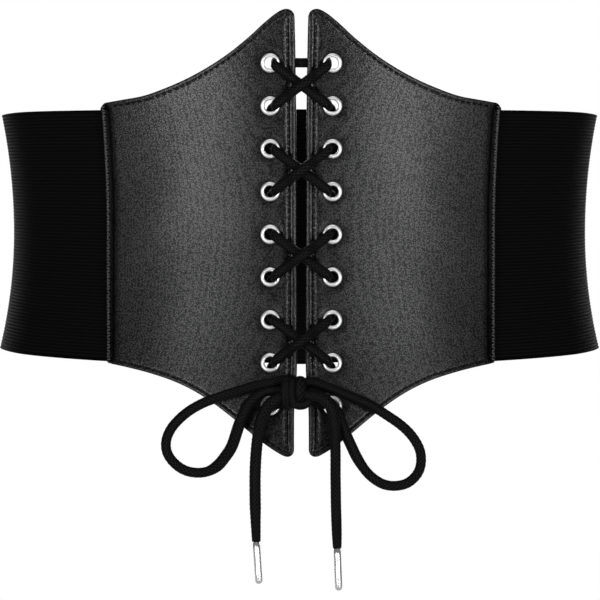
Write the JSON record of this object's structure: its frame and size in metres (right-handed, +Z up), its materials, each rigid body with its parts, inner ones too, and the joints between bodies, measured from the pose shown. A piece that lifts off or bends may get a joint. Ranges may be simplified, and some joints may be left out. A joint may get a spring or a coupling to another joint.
{
  "type": "corset belt",
  "caption": "Wide corset belt of shaped faux leather front panels laced through metal eyelets with a bowed cord, and a ribbed elastic band round sides and back.",
  "frame": {"origin": "middle of the waist loop at its narrowest height, where the belt sits round a wearer", "axes": "+Z up along the wearer's body, -Y out of the laced front, +X towards the right of a viewer in front of the belt"},
  "size_m": [0.283, 0.2134, 0.2655],
  "materials": {
    "leather": "black faux leather, fine pebble grain, satin",
    "elastic": "black woven elastic with horizontal ribs, matte",
    "cord": "black braided cord, matte",
    "nickel": "polished nickel"
  },
  "bodies": {
    "root": {"panel_left": "leather", "panel_right": "leather", "elastic_band": "elastic", "lacing": "cord", "bow_knot": "cord", "lace_loop_left": "cord", "lace_loop_right": "cord", "lace_tail_left": "cord", "lace_tail_right": "cord", "eyelet_left_1": "nickel", "eyelet_left_2": "nickel", "eyelet_left_3": "nickel", "eyelet_left_4": "nickel", "eyelet_left_5": "nickel", "eyelet_left_6": "nickel", "eyelet_left_7": "nickel", "eyelet_left_8": "nickel", "eyelet_left_9": "nickel", "eyelet_right_1": "nickel", "eyelet_right_2": "nickel", "eyelet_right_3": "nickel", "eyelet_right_4": "nickel", "eyelet_right_5": "nickel", "eyelet_right_6": "nickel", "eyelet_right_7": "nickel", "eyelet_right_8": "nickel", "eyelet_right_9": "nickel", "aglet_left": "nickel", "aglet_right": "nickel"}
  },
  "joints": []
}
